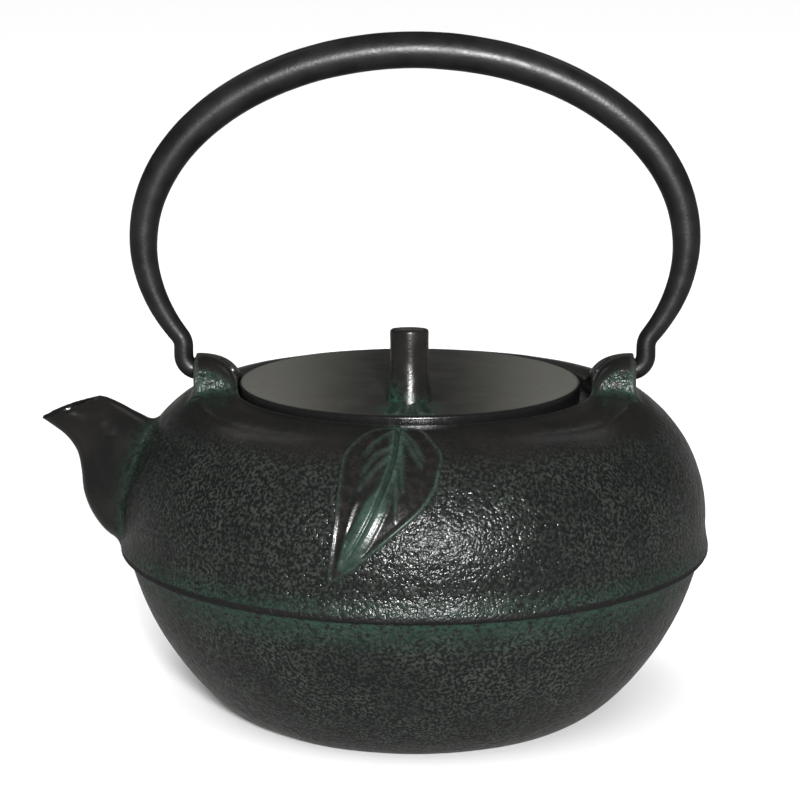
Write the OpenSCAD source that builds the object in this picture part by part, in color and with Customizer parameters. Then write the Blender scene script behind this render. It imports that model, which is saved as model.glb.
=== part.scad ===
// Cast iron teapot with a swinging bail, a lift-off lid and a steel basket.
// Millimetres. The origin is the centre of the flat base, +Z is up, the spout
// points along -X and the leaf is on the -Y side.

/* [Body] */
// Radius of the waist lip, the widest part of the pot
waist_r = 86; // [84.5:0.5:88]
// Height of the waist lip above the base
waist_z = 50.5; // [49:0.5:52]
// Thickness of the cast wall
wall_t = 3.5; // [3:0.1:4]
// Thickness of the enamel coat inside
enamel_t = 0.4; // [0.3:0.05:0.6]

/* [Lid] */
// Radius of the lid
lid_r = 49.5; // [48:0.1:50]
// Sideways rest of the loose lid in its seat, towards the spout
lid_shift = 1.5; // [0:0.1:1.5]
// Rise of the lid's crown above its edge
lid_crown = 1; // [0.5:0.1:2]
// Diameter of the stem knob at its top
knob_d = 10.8; // [9:0.1:13]
// Length of the stem knob above the lid's edge
knob_h = 20.6; // [16:0.1:22]
// Distance of the knob's foot from the lid's centre, towards the leaf
knob_y = 30; // [26:0.5:33]

/* [Handle] */
// Half the width of the bail along its centre line
bail_a = 78.1; // [77:0.1:79]
// Height of the bail's arch above its widest point, along its centre line
bail_b = 55.3; // [54:0.1:57]
// Height of the bail's widest point above the base
bail_z = 137; // [136:0.5:139]
// Thickness of the bail at its top
bail_top_d = 10.6; // [9:0.1:12]
// Thickness of the bail's hook ends
hook_d = 5.6; // [5:0.1:5.8]

/* [Spout] */
// Height of the round port through the wall into the spout
port_z = 62; // [60:0.5:64]
// Radius of the port
port_r = 8; // [6:0.5:9]

/* [Basket] */
// Outside radius of the basket's wall
basket_r = 39.5; // [36:0.5:40]
// Depth of the basket below its rim
basket_h = 55; // [40:1:58]
// Thickness of the basket's steel
sheet_t = 0.6; // [0.4:0.1:0.8]

/* [Hidden] */
$fn = 96;
eps = 0.01;
big = 300;

// Outline of the body, as four arcs that meet in tangents
upper_r = 41.3;
upper_c = [waist_r - 1 - upper_r, waist_z + 7.5];
shoulder_r = 19;
shoulder_a = 52.6;
shoulder_c = upper_c + (upper_r - shoulder_r) * [cos(shoulder_a), sin(shoulder_a)];
bowl_c = [0, waist_z + 17];
bowl_r = norm([upper_c[0] + sqrt(pow(upper_r, 2) - pow(upper_c[1] - waist_z, 2)),
               bowl_c[1] - waist_z]);
foot_r = 41.4;
foot_a = -42.9;
foot_c = bowl_c + (bowl_r - foot_r) * [cos(foot_a), sin(foot_a)];
lip_r = 2.3;
collar_z = shoulder_c[1] + shoulder_r;

// Mouth: a throat, and a seat for the basket's rim and the lid
throat_r = 43;
seat_r = lid_r + 1.9;
seat_z = collar_z - 3.8;
collar_out_r = seat_r + 3.4;
collar_t = 7.1;

// Lid and basket, stacked on the seat
stack_gap = 0.15;
rim_r = seat_r - 1;
rim_z = seat_z;
lid_z = rim_z + sheet_t + stack_gap;
lid_edge_z = collar_z + 1.9;
lid_top_z = lid_edge_z + lid_crown;
crown_steps = 8;
lid_t = 3.8;
lid_band = 3.5;
skirt_r = 36.8;
skirt_t = 2.8;
skirt_h = 7;
knob_r = knob_d / 2;
knob_lean = 5;
knob_edge = 0.9;
knob_foot_r = knob_r + 1;
knob_foot_h = 11;
knob_root = 2;
stalk_top_w = 5.4;
stalk_end_w = 8;
stalk_t = 0.9;

// Bail: the lugs hold its hooks on one axis along X
hinge_z = 99.6;
hook_r = hook_d / 2;
elbow_r = 4.5;
pin_end_x = 56.5;
hook_x = 67;
leg_h = 1;
join_z = hinge_z + elbow_r + leg_h;
shank_r = 1.6;
shank_h = 1.4;
tube_end_wall = 1.1;
tube_top_wall = 1.6;

// The tube runs straight up from the hook, kinks outwards and joins the arch
arch_end_t = -29.2;
arch_end = [bail_a * cos(arch_end_t), bail_z + bail_b * sin(arch_end_t)];
arch_end_a = atan2(-bail_a * sin(arch_end_t), bail_b * cos(arch_end_t));
kink_l = (arch_end[0] - hook_x) / sin(arch_end_a);
kink = [hook_x, arch_end[1] - kink_l * cos(arch_end_a)];
kink_start = kink - [0, kink_l];
arch_steps = 42;
kink_steps = 4;
tube_sides = 20;
taper = 2.5;

// Lugs: ears on the shoulder, cut flat on the outside
lug_face_x = hook_x - hook_r - 0.3;
lug_in_x = 40;
lug_low_z = 80;
lug_dome_r = 13;
lug_dome_c = [63, 92.3];
lug_arch_r = 11.5;
lug_hole_r = hook_r + 0.4;
lug_mouth_r = lug_hole_r + 1.6;
lug_mouth_h = 2.6;

// Spout: stations from its root in the wall to the pouring lip
// [lowest x, lowest z, highest x, highest z, half width]
spout_stations = [[-77, 40, -64, 78, 17],
                  [-85, 47.8, -73, 83, 15.6],
                  [-90.5, 51.8, -77, 85, 13.4],
                  [-94.6, 57.3, -80, 86.6, 11.4],
                  [-96.9, 63.5, -82.6, 88, 9.8],
                  [-97.5, 70, -85, 89.4, 8.5],
                  [-98.6, 75.6, -87.4, 90.6, 7.5],
                  [-101.6, 80, -89.4, 91.6, 6.6],
                  [-105.4, 83, -90.8, 92, 6],
                  [-109.2, 85.6, -91.6, 92.2, 5.6]];
spout_sides = 28;
port_from_x = 70;
spout_bore = 0.7;

// Leaf on the shoulder, from its stalk at the collar to its tip above the waist
leaf_top_z = 94.4;
leaf_tip_z = 62.5;
leaf_base_a = -2;
leaf_tip_a = -14;
leaf_half_w = 12.5;
leaf_t = 0.9;
leaf_rows = 24;
leaf_cols = 10;

iron = [0.07, 0.09, 0.08];
iron_green = [0.1, 0.16, 0.13];
black = [0.05, 0.05, 0.05];
steel = [0.75, 0.76, 0.78];

// Solid half outline of the body, drawn inwards by a distance
module body_outline(inset) {
    intersection() {
        union() {
            intersection() {
                translate(bowl_c) circle(r = bowl_r - inset);
                polygon([bowl_c, bowl_c + big * [cos(foot_a), sin(foot_a)], [big, big], [0, big]]);
            }
            translate(foot_c) circle(r = foot_r - inset);
            square([foot_c[0], bowl_c[1]]);
        }
        translate([0, inset]) square([big, waist_z - inset]);
    }
    intersection() {
        union() {
            intersection() {
                translate(upper_c) circle(r = upper_r - inset);
                polygon([upper_c, upper_c + [0, -big], [big, -big],
                         upper_c + big * [cos(shoulder_a), sin(shoulder_a)]]);
            }
            translate(shoulder_c) circle(r = shoulder_r - inset);
            square([shoulder_c[0], collar_z]);
        }
        translate([0, waist_z]) square([big, collar_z - inset - waist_z]);
    }
}

// Outer outline with the lip round the waist
module lipped_outline() {
    body_outline(0);
    translate([waist_r - lip_r, waist_z]) circle(r = lip_r);
    translate([waist_r - 6, waist_z - lip_r]) square([6 - lip_r, 2 * lip_r]);
}

module body_solid() {
    rotate_extrude($fn = 180) lipped_outline();
}

// Round port through the wall, into the spout
module port() {
    translate([-port_from_x, 0, port_z]) rotate([0, -90, 0]) cylinder(r = port_r, h = waist_r);
}

// Section of the casting: the wall, with the seat's ring inside the collar
module body_section() {
    difference() {
        lipped_outline();
        difference() {
            body_outline(wall_t);
            translate([throat_r, collar_z - collar_t]) square([collar_out_r - throat_r, collar_t]);
        }
        translate([0, collar_z - collar_t - 1]) square([throat_r, collar_t + 2]);
        translate([0, seat_z]) square([seat_r, collar_z]);
    }
}

// Casting above the waist: the wall up to the collar, with the port
module body_upper() {
    color(iron_green) difference() {
        rotate_extrude($fn = 180) intersection() {
            body_section();
            translate([0, waist_z]) square(big);
        }
        port();
    }
}

// Casting below the waist: the bowl and the flat base
module body_lower() {
    color(iron_green) rotate_extrude($fn = 180) intersection() {
        body_section();
        square([big, waist_z]);
    }
}

module enamel_lining() {
    color([0.03, 0.03, 0.035]) difference() {
        rotate_extrude($fn = 180) difference() {
            body_outline(wall_t);
            body_outline(wall_t + enamel_t);
            translate([0, collar_z - collar_t]) square([collar_out_r + eps, collar_t]);
        }
        port();
    }
}

// Solid through a closed loop of rings: each is joined to the next, the last to the first
module ring_loft(rings) {
    n = len(rings);
    sides = len(rings[0]);
    polyhedron(points = [for (ring = rings) each ring],
               faces = [for (i = [0 : n - 1], j = [0 : sides - 1])
                   let (up = (i + 1) % n, next = (j + 1) % sides)
                   [up * sides + j, up * sides + next, i * sides + next, i * sides + j]],
               convexity = 6);
}

// One ring of the spout: a rounded section between its lowest and highest point
function spout_ring(s, k) =
    let (low = [s[0], s[1]], high = [s[2], s[3]], mid = (low + high) / 2, half = (high - low) / 2)
    [for (j = [0 : spout_sides - 1])
        let (a = 360 * j / spout_sides, p = mid - k * cos(a) * half,
             w = k * s[4] * sign(sin(a)) * pow(abs(sin(a)), 0.85))
        [p[0], w, p[1]]];

// Bore of the spout: it narrows towards the lip
function spout_bore_at(i) = spout_bore + 0.08 * i / (len(spout_stations) - 1);

module spout() {
    n = len(spout_stations);
    color(black) difference() {
        ring_loft(concat(
            [for (i = [0 : n - 1]) spout_ring(spout_stations[i], 1)],
            [for (i = [n - 1 : -1 : 0]) spout_ring(spout_stations[i], spout_bore_at(i))]));
        body_solid();
    }
}

// Ear on the shoulder: an arch across Y, domed towards the lid, flat outside
module lug() {
    arch_z = lug_dome_c[1] + lug_dome_r - lug_arch_r;
    length = lug_face_x - lug_in_x;
    color(iron) difference() {
        intersection() {
            union() {
                translate([lug_in_x, 0, arch_z]) rotate([0, 90, 0])
                    cylinder(r = lug_arch_r, h = length);
                translate([lug_in_x, -lug_arch_r, lug_low_z])
                    cube([length, 2 * lug_arch_r, arch_z - lug_low_z]);
            }
            translate([lug_dome_c[0], lug_arch_r + 1, lug_dome_c[1]]) rotate([90, 0, 0])
                cylinder(r = lug_dome_r, h = 2 * lug_arch_r + 2);
        }
        body_solid();
        cylinder(r = seat_r, h = big);
        translate([lug_in_x, 0, hinge_z]) rotate([0, 90, 0])
            cylinder(r = lug_hole_r, h = length + 1);
        translate([lug_face_x - lug_mouth_h, 0, hinge_z]) rotate([0, 90, 0])
            cylinder(r1 = lug_hole_r, r2 = lug_mouth_r, h = lug_mouth_h + eps);
    }
}

module lug_right() { lug(); }
module lug_left() { mirror([1, 0, 0]) lug(); }

// Radius of the upper body at a height
function body_r_at(z) =
    z > shoulder_c[1] + shoulder_r * sin(shoulder_a)
        ? shoulder_c[0] + sqrt(max(0, pow(shoulder_r, 2) - pow(z - shoulder_c[1], 2)))
        : upper_c[0] + sqrt(pow(upper_r, 2) - pow(z - upper_c[1], 2));

// Half width of the leaf at a share of its length: full near the stalk, pointed at the tip
function leaf_w(t) = leaf_half_w * pow(sin(180 * pow(t, 0.75)), 0.8);

// Point of the leaf at a share of its length and width, standing off the body
function leaf_point(t, u, off) =
    let (z = leaf_top_z + (leaf_tip_z - leaf_top_z) * t, r = body_r_at(z),
         mid_a = leaf_base_a + (leaf_tip_a - leaf_base_a) * pow(t, 1.4),
         a = mid_a + u * leaf_w(t) / r * 180 / PI)
    [(r + off) * sin(a), -(r + off) * cos(a), z + off * (z - upper_c[1]) / upper_r];

module leaf_relief() {
    w = leaf_cols + 1;
    h = leaf_rows + 1;
    n = w * h;
    first = 0.01;
    last = 0.995;
    points = [for (off = [1, 0], i = [0 : leaf_rows], j = [0 : leaf_cols])
        let (u = 2 * j / leaf_cols - 1)
        leaf_point(first + (last - first) * i / leaf_rows, u, off * leaf_t * (1 - 0.5 * pow(abs(u), 4)))];
    grid = [for (i = [0 : h - 2], j = [0 : w - 2])
        [i * w + j, i * w + j + 1, (i + 1) * w + j + 1, (i + 1) * w + j]];
    rim = concat([for (j = [0 : w - 1]) j], [for (i = [1 : h - 1]) i * w + w - 1],
                 [for (j = [w - 2 : -1 : 0]) (h - 1) * w + j], [for (i = [h - 2 : -1 : 1]) i * w]);
    walls = [for (k = [0 : len(rim) - 1])
        let (a = rim[k], b = rim[(k + 1) % len(rim)]) [b, a, a + n, b + n]];
    color(iron_green)
        polyhedron(points = points, convexity = 6,
                   faces = concat(grid, [for (f = grid) [f[3] + n, f[2] + n, f[1] + n, f[0] + n]], walls));
}

// Line of the lid's crown from its centre out to the edge, raised by a distance
function crown_line(rise) =
    [for (i = [0 : crown_steps]) let (r = lid_r * i / crown_steps)
        [r, lid_top_z + rise - lid_crown * pow(r / lid_r, 2)]];

module crown_solid(rise) {
    rotate_extrude($fn = 180) polygon(concat(crown_line(rise), [[lid_r, lid_z], [0, lid_z]]));
}

module lid_disc() {
    under_z = lid_top_z - lid_t;
    skirt_z = under_z - skirt_h;
    color(iron) translate([-lid_shift, 0, 0]) rotate_extrude($fn = 180)
        polygon(concat(crown_line(0),
                       [[lid_r, lid_z], [lid_r - lid_band, lid_z], [lid_r - lid_band, under_z],
                        [skirt_r, under_z], [skirt_r, skirt_z], [skirt_r - skirt_t, skirt_z],
                        [skirt_r - skirt_t, under_z], [0, under_z]]));
}

// Stem knob: round, wider at its foot, leaning back a little, with a root inside the lid
module stem() {
    translate([0, -knob_y, lid_edge_z]) rotate([-knob_lean, 0, 0]) rotate_extrude() {
        square([knob_r, knob_h - knob_edge]);
        square([knob_r - knob_edge, knob_h]);
        translate([knob_r - knob_edge, knob_h - knob_edge]) circle(r = knob_edge);
        polygon([[0, 0], [knob_foot_r, 0], [knob_r, knob_foot_h], [0, knob_foot_h]]);
        translate([0, -knob_root]) square([knob_foot_r, knob_root]);
    }
}

module lid_knob() {
    color(black) translate([-lid_shift, 0, 0]) difference() {
        stem();
        crown_solid(0);
    }
}

// Low stalk cast on the lid: it widens from the knob's foot to the edge above the leaf
module lid_stalk() {
    start_y = knob_y + knob_foot_r / 2;
    end_y = lid_r - 1.2;
    color(iron_green) translate([-lid_shift, 0, 0]) difference() {
        intersection() {
            translate([0, 0, lid_edge_z]) linear_extrude(lid_crown + 2)
                polygon([[-stalk_top_w, -start_y], [-stalk_end_w, -end_y],
                         [stalk_end_w, -end_y], [stalk_top_w, -start_y]]);
            crown_solid(stalk_t);
        }
        crown_solid(0);
        stem();
    }
}

// Thickness of the bail at a turn round its arch: full at the top, thin at the ends
function bail_d(t) =
    hook_d + (bail_top_d - hook_d) * (1 - pow(abs(t - 90) / (90 - arch_end_t), taper));

// Stations of the bail from the right hook to the left: [x, z, run in x, run in z, thickness]
function arch_station(t) =
    [bail_a * cos(t), bail_z + bail_b * sin(t), -bail_a * sin(t), bail_b * cos(t), bail_d(t)];
function kink_station(s) =
    let (run = (1 - s) * (kink - kink_start) + s * (arch_end - kink),
         at = pow(1 - s, 2) * kink_start + 2 * (1 - s) * s * kink + s * s * arch_end)
    [at[0], at[1], run[0], run[1], hook_d];
function mirrored(s) = [-s[0], s[1], s[2], -s[3], s[4]];

// Ring round the bail's centre line, square to it
function bail_ring(s, r) =
    let (out = [s[3], -s[2]] / norm([s[2], s[3]]))
    [for (j = [0 : tube_sides - 1]) let (a = 360 * j / tube_sides)
        [s[0] + r * cos(a) * out[0], r * sin(a), s[1] + r * cos(a) * out[1]]];

module handle_tube() {
    right_end = concat([[hook_x, join_z, 0, 1, hook_d]],
                       [for (i = [0 : kink_steps - 1]) kink_station(i / kink_steps)]);
    stations = concat(right_end,
        [for (i = [0 : arch_steps]) arch_station(arch_end_t + (180 - 2 * arch_end_t) * i / arch_steps)],
        [for (i = [kink_steps : -1 : 0]) mirrored(right_end[i])]);
    last = len(stations) - 1;
    wall = function(d) tube_end_wall
        + (tube_top_wall - tube_end_wall) * (d - hook_d) / (bail_top_d - hook_d);
    color(black) ring_loft(concat(
        [for (i = [0 : last]) bail_ring(stations[i], stations[i][4] / 2)],
        [for (i = [last : -1 : 0]) let (d = stations[i][4]) bail_ring(stations[i], d / 2 - wall(d))]));
}

// Solid hook end, plugged into the tube: a shank, an upright leg, an elbow and the pin
module hook() {
    color(black) {
        translate([pin_end_x, 0, hinge_z]) rotate([0, 90, 0])
            cylinder(r = hook_r, h = hook_x - elbow_r - pin_end_x);
        translate([hook_x - elbow_r, 0, hinge_z + elbow_r]) rotate([90, 0, 0]) rotate([0, 0, -90])
            rotate_extrude(angle = 90) translate([elbow_r, 0]) circle(r = hook_r, $fn = 48);
        translate([hook_x, 0, hinge_z + elbow_r]) cylinder(r = hook_r, h = leg_h);
        translate([hook_x, 0, hinge_z + elbow_r]) cylinder(r = shank_r, h = leg_h + shank_h);
    }
}

module hook_right() { hook(); }
module hook_left() { mirror([1, 0, 0]) hook(); }

module basket_rim() {
    color(steel) translate([0, 0, rim_z]) difference() {
        cylinder(r = rim_r, h = sheet_t);
        translate([0, 0, -1]) cylinder(r = basket_r - sheet_t, h = 3);
    }
}

module basket_wall() {
    color(steel) translate([0, 0, rim_z - basket_h]) difference() {
        cylinder(r = basket_r, h = basket_h);
        translate([0, 0, -1]) cylinder(r = basket_r - sheet_t, h = basket_h + 2);
    }
}

module basket_base() {
    color(steel) translate([0, 0, rim_z - basket_h]) cylinder(r = basket_r - sheet_t, h = sheet_t);
}

body_upper();
body_lower();
spout();
lug_left();
lug_right();
leaf_relief();
enamel_lining();
lid_disc();
lid_stalk();
lid_knob();
handle_tube();
hook_left();
hook_right();
basket_rim();
basket_wall();
basket_base();
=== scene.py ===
import math

import bmesh
import bpy
import numpy as np
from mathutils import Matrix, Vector, noise
from mathutils.bvhtree import BVHTree


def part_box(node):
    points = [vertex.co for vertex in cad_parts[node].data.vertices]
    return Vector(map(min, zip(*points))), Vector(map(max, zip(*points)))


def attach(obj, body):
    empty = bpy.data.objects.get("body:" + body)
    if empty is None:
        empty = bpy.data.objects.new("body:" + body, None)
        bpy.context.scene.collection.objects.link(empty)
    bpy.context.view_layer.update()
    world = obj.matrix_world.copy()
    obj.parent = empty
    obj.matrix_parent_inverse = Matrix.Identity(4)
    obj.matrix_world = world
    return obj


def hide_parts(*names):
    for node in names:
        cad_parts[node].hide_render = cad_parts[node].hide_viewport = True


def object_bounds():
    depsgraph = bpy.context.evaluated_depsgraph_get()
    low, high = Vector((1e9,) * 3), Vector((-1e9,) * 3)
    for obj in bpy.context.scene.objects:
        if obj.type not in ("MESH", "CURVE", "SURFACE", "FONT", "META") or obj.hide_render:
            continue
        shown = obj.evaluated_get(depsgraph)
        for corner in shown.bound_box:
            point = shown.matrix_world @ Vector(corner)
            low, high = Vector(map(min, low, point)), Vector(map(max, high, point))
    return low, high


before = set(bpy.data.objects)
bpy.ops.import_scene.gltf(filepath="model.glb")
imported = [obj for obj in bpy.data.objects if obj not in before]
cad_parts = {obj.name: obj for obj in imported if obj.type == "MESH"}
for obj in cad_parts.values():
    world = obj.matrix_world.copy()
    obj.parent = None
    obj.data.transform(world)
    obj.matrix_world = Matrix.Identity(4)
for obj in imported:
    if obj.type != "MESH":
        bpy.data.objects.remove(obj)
cad_low, cad_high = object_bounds()

# Shapes are worked out in millimetres, in the part's own frame, and scaled when a mesh is made.
MM = 0.001


def box_mm(node):
    """Lowest and highest corner of a CAD node, in millimetres."""
    low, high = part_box(node)
    return np.array(low) / MM, np.array(high) / MM


body_low, body_high = box_mm("body_upper")
lid_low, lid_high = box_mm("lid_disc")
tube_low, _ = box_mm("handle_tube")
_, hook_high = box_mm("hook_right")
wall_low, wall_high = box_mm("basket_wall")

# Body: four arcs and a waist lip
WAIST_R = body_high[0]
COLLAR_Z = body_high[2]
UPPER_R, UPPER_C = 41.3, (43.7, 58.0)
SHOULDER_R, SHOULDER_A = 19.0, 52.6
SHOULDER_C = (57.24, COLLAR_Z - SHOULDER_R)
BOWL_C = (0.0, 67.5)
BOWL_R = 86.03
FOOT_R, FOOT_A = 41.4, -42.9
FOOT_C = (BOWL_C[0] + (BOWL_R - FOOT_R) * math.cos(math.radians(FOOT_A)),
          BOWL_C[1] + (BOWL_R - FOOT_R) * math.sin(math.radians(FOOT_A)))
WALL = 3.4
LIP_LOW_A = -15.2

# Mouth of the pot
LID_R = (lid_high[1] - lid_low[1]) / 2
LID_X = (lid_high[0] + lid_low[0]) / 2
LID_TOP = lid_high[2]
CROWN = 1.0
AXIS_R = 0.01
KNOB_Y, KNOB_LEAN = 30.0, 5.0
SEAT_R = LID_R + 1.9
SEAT_Z = COLLAR_Z - 3.8
THROAT_R = 43.0
RING_LOW = COLLAR_Z - 7.1
RING_R = SEAT_R + 3.4

# Lugs
HINGE_Z = 99.6
LUG_FACE = 63.9
LUG_DOME_C, LUG_DOME_R = (63.0, 92.3), 13.0
LUG_ARCH_R = 11.5
LUG_ARCH_Z = LUG_DOME_C[1] + LUG_DOME_R - LUG_ARCH_R
LUG_HOLE_R, LUG_MOUTH, LUG_MOUTH_H = 3.2, 1.6, 2.6

# Spout, as in part.scad: [lowest x, lowest z, highest x, highest z, half width] from root to lip
SPOUT_STATIONS = [(-77, 40, -64, 78, 17), (-85, 47.8, -73, 83, 15.6), (-90.5, 51.8, -77, 85, 13.4),
                  (-94.6, 57.3, -80, 86.6, 11.4), (-96.9, 63.5, -82.6, 88, 9.8),
                  (-97.5, 70, -85, 89.4, 8.5), (-98.6, 75.6, -87.4, 90.6, 7.5),
                  (-101.6, 80, -89.4, 91.6, 6.6), (-105.4, 83, -90.8, 92, 6),
                  (-109.2, 85.6, -91.6, 92.2, 5.6)]
SPOUT_WALL = 1.9
PORT_Z, PORT_R = 62.0, 8.0

# Cells of the casting's skin, and the heights round the waist lip between which they are finer
VOXEL = 0.8
WAIST_CELLS = (44.0, 53.0)


# ---------------------------------------------------------------- meshes

def make_piece(name, points, faces, material, body, replaces=(), sharp=0):
    """A mesh in the row frame from points in millimetres; edges over the sharp angle stay crisp."""
    mesh = bpy.data.meshes.new(name)
    mesh.from_pydata((np.asarray(points, float) * MM).tolist(), [], [list(map(int, f)) for f in faces])
    mesh.validate()
    face_outwards(mesh)
    mesh.polygons.foreach_set("use_smooth", [True] * len(mesh.polygons))
    if sharp:
        mesh.set_sharp_from_angle(angle=math.radians(sharp))
    mesh.materials.append(material)
    piece = bpy.data.objects.new(name, mesh)
    bpy.context.scene.collection.objects.link(piece)
    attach(piece, body)
    if replaces:
        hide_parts(*replaces)
    return piece


def add_values(piece, name, values):
    """One number a vertex, which a material reads by name."""
    layer = piece.data.attributes.new(name, "FLOAT", "POINT")
    layer.data.foreach_set("value", np.asarray(values, np.float32))


def loft(rings, closed=False, caps=True):
    """Points and faces of a skin over rings of points, all of the same length."""
    count, sides = len(rings), len(rings[0])
    points = np.concatenate(rings)
    i = np.arange(count if closed else count - 1)[:, None]
    j = np.arange(sides)[None, :]
    up, on = (i + 1) % count, (j + 1) % sides
    quads = np.stack([i * sides + j, i * sides + on, up * sides + on, up * sides + j], -1)
    faces = quads.reshape(-1, 4).tolist()
    if caps and not closed:
        faces.append(list(range(sides))[::-1])
        faces.append([(count - 1) * sides + k for k in range(sides)])
    return points, faces


def lathe(profile, sides=192, centre=(0.0, 0.0)):
    """A solid of revolution round Z from a closed profile of (radius, height) points."""
    turn = np.linspace(0, 2 * math.pi, sides, endpoint=False)
    rings = [np.column_stack([centre[0] + r * np.cos(turn), centre[1] + r * np.sin(turn),
                              np.full(sides, z)]) for r, z in profile]
    return loft(rings, closed=True, caps=False)


def arc(centre, radius, start, stop, steps):
    """Points along a circle between two angles in degrees."""
    turn = np.radians(np.linspace(start, stop, steps + 1))
    return np.column_stack([centre[0] + radius * np.cos(turn), centre[1] + radius * np.sin(turn)])


def curve_through(points, steps):
    """A smooth line through a list of points, with so many steps between each two."""
    p = np.asarray(points, float)
    p = np.vstack([2 * p[0] - p[1], p, 2 * p[-1] - p[-2]])
    out = []
    for k in range(1, len(p) - 2):
        for t in np.arange(steps) / steps:
            out.append(0.5 * (2 * p[k] + (p[k + 1] - p[k - 1]) * t
                              + (2 * p[k - 1] - 5 * p[k] + 4 * p[k + 1] - p[k + 2]) * t * t
                              + (3 * p[k] - p[k - 1] - 3 * p[k + 1] + p[k + 2]) * t ** 3))
    return np.array(out + [p[-2]])


# ---------------------------------------------------------------- distance fields

def either(a, b, soft):
    """Union of two fields, with a fillet of about that size."""
    h = np.clip(0.5 + 0.5 * (b - a) / soft, 0, 1)
    return b + (a - b) * h - soft * h * (1 - h)


def both(a, b, soft):
    """Intersection of two fields, with a rounded edge of about that size."""
    return -either(-a, -b, soft)


def step_between(low, high, value):
    """A smooth step from 0 at low to 1 at high; low may be the larger."""
    t = np.clip((value - low) / (high - low), 0, 1)
    return t * t * (3 - 2 * t)


def polygon_field(points, x, y):
    """Signed distance to a closed polygon, below zero inside."""
    nearest = np.full(x.shape, 1e9)
    inside = np.zeros(x.shape, bool)
    for a, b in zip(points, np.roll(points, -1, axis=0)):
        run = b - a
        if not run.any():
            continue
        t = np.clip(((x - a[0]) * run[0] + (y - a[1]) * run[1]) / (run @ run), 0, 1)
        nearest = np.minimum(nearest, (x - a[0] - t * run[0]) ** 2 + (y - a[1] - t * run[1]) ** 2)
        if run[1]:
            crossing = a[0] + (y - a[1]) / run[1] * run[0]
            inside ^= ((a[1] > y) != (b[1] > y)) & (x < crossing)
    return np.where(inside, -1, 1) * np.sqrt(nearest)


def line_distance(points, x, y):
    """Distance to an open line through points, and the share of its length at the nearest point."""
    nearest, share = np.full(x.shape, 1e9), np.zeros(x.shape)
    for k in range(len(points) - 1):
        a, run = points[k], points[k + 1] - points[k]
        t = np.clip(((x - a[0]) * run[0] + (y - a[1]) * run[1]) / (run @ run), 0, 1)
        gap = np.hypot(x - a[0] - t * run[0], y - a[1] - t * run[1])
        share = np.where(gap < nearest, (k + t) / (len(points) - 1), share)
        nearest = np.minimum(nearest, gap)
    return nearest, share


def pot_outline():
    """Outer outline of the pot as (radius, height) points, from the base to the collar."""
    foot_start = math.degrees(math.asin(-FOOT_C[1] / FOOT_R))
    lip = [(83.9, 46.7), (84.6, 47.5), (85.6, 47.9), (WAIST_R - 0.08, 48.3), (WAIST_R - 0.02, 49.0),
           (WAIST_R - 0.05, 49.7), (85.8, 50.6), (85.4, 52.4), (85.1, 54.6)]
    return np.vstack([arc(FOOT_C, FOOT_R, foot_start, FOOT_A, 14),
                      arc(BOWL_C, BOWL_R, FOOT_A, LIP_LOW_A, 30),
                      lip,
                      arc(UPPER_C, UPPER_R, -2, SHOULDER_A, 44),
                      arc(SHOULDER_C, SHOULDER_R, SHOULDER_A, 90, 22)])


class Outline:
    """Table of the pot outline's distance field over (radius, height)."""
    STEP = 0.2
    R_MAX, Z_LOW, Z_HIGH = 132.0, -8.0, 114.0

    def __init__(self):
        deep = -60.0
        closed = np.vstack([[(deep, 0)], pot_outline(), [(deep, COLLAR_Z)]])
        r = np.arange(0, self.R_MAX, self.STEP)
        z = np.arange(self.Z_LOW, self.Z_HIGH, self.STEP)
        self.table = polygon_field(closed, *np.meshgrid(r, z, indexing="ij"))

    def __call__(self, r, z):
        u = np.clip(r / self.STEP, 0, self.table.shape[0] - 2)
        v = np.clip((z - self.Z_LOW) / self.STEP, 0, self.table.shape[1] - 2)
        i, j = u.astype(int), v.astype(int)
        f, g = u - i, v - j
        t = self.table
        return ((t[i, j] * (1 - f) + t[i + 1, j] * f) * (1 - g)
                + (t[i, j + 1] * (1 - f) + t[i + 1, j + 1] * f) * g)


outline = Outline()


def spout_width(u, leaf):
    """Half width of the spout's section from its leading edge (0) to its back (1).

    A narrow nose widens with a soft ridge into flat sides; towards the lip it turns leaf-shaped.
    """
    ridge = 0.24
    nose = 0.72 * np.sqrt(np.clip(1 - ((ridge - u) / ridge) ** 2, 0, 1))
    side = 0.72 + 0.28 * step_between(ridge - 0.02, 0.52, u)
    back = np.sqrt(np.clip(1 - (np.clip(u - 0.6, 0, 1) / 0.4) ** 2, 0, 1))
    crease = 0.06 * np.exp(-((u - ridge - 0.05) / 0.08) ** 2)
    keel = (np.where(u < ridge, nose, side) - crease) * back
    pointed = np.sin(math.pi * np.clip(u, 0, 1) ** 0.8) ** 0.9
    return keel * (1 - leaf) + pointed * leaf


def spout_rings(shrink, sides=56):
    """Rings of the spout's skin, drawn inwards by a wall."""
    line = curve_through(SPOUT_STATIONS, 4)
    rings = []
    for k, s in enumerate(line):
        low, high = s[0:2], s[2:4]
        middle, half = (low + high) / 2, (high - low) / 2
        length = np.linalg.norm(half)
        half = half * (length - shrink) / length
        leaf = step_between(0.62, 1.0, k / (len(line) - 1))
        turn = np.linspace(0, 2 * math.pi, sides, endpoint=False)
        u = (1 - np.cos(turn)) / 2
        width = np.sign(np.sin(turn)) * spout_width(u, leaf) * max(s[4] - shrink * 0.9, 1.5)
        centre = middle[None, :] - np.cos(turn)[:, None] * half[None, :]
        rings.append(np.column_stack([centre[:, 0], width, centre[:, 1]]))
    return rings


def face_outwards(mesh):
    """Turns a closed mesh's faces over where they look inwards."""
    shell = bmesh.new()
    shell.from_mesh(mesh)
    if shell.calc_volume(signed=True) < 0:
        bmesh.ops.reverse_faces(shell, faces=shell.faces)
        shell.to_mesh(mesh)
    shell.free()


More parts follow.
